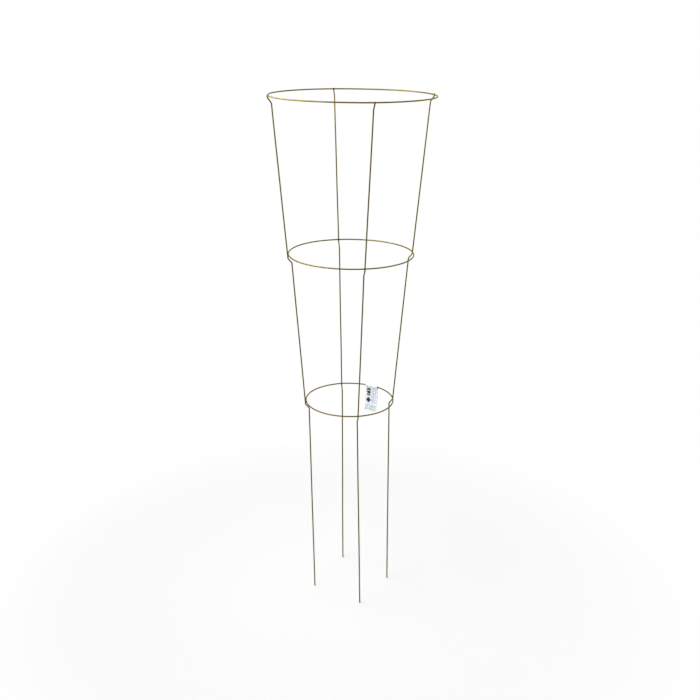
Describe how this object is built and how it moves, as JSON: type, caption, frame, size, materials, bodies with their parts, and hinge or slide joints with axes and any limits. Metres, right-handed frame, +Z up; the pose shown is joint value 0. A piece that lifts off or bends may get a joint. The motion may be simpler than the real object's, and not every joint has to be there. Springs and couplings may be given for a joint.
{
  "type": "tomato cage",
  "caption": "Tapered wire tomato cage: bent legs spot-welded round level rings, open at the top and sides, with a folded label on the lowest ring.",
  "frame": {"origin": "on the ground, under the middle of the rings", "axes": "+Z up along the cage's axis; the front leg's top end is at -Y and the right leg's at +X"},
  "size_m": [0.4216, 0.4216, 1.3715],
  "materials": {
    "zinc_wire": "yellow-passivated zinc plating, satin",
    "weld_bead": "heat-tinted, dull",
    "printed_tag": "thin printed film, semi-matte"
  },
  "bodies": {
    "cage": {"top_ring": "zinc_wire", "middle_ring": "zinc_wire", "bottom_ring": "zinc_wire", "leg_front": "zinc_wire", "leg_right": "zinc_wire", "leg_back": "zinc_wire", "leg_left": "zinc_wire", "top_ring_seam": "weld_bead", "middle_ring_seam": "weld_bead", "bottom_ring_seam": "weld_bead", "weld_top_front": "weld_bead", "weld_top_right": "weld_bead", "weld_top_back": "weld_bead", "weld_top_left": "weld_bead", "weld_middle_front": "weld_bead", "weld_middle_right": "weld_bead", "weld_middle_back": "weld_bead", "weld_middle_left": "weld_bead", "weld_bottom_front": "weld_bead", "weld_bottom_right": "weld_bead", "weld_bottom_back": "weld_bead", "weld_bottom_left": "weld_bead"},
    "tag": {"hang_tag": "printed_tag"}
  },
  "joints": [
    {"name": "tag_swing", "type": "hinge", "parent": "cage", "child": "tag", "pos_m": [0.08404, 0.08116, 0.5708], "axis": [-0.6947, 0.7193, 0], "continuous": true}
  ]
}
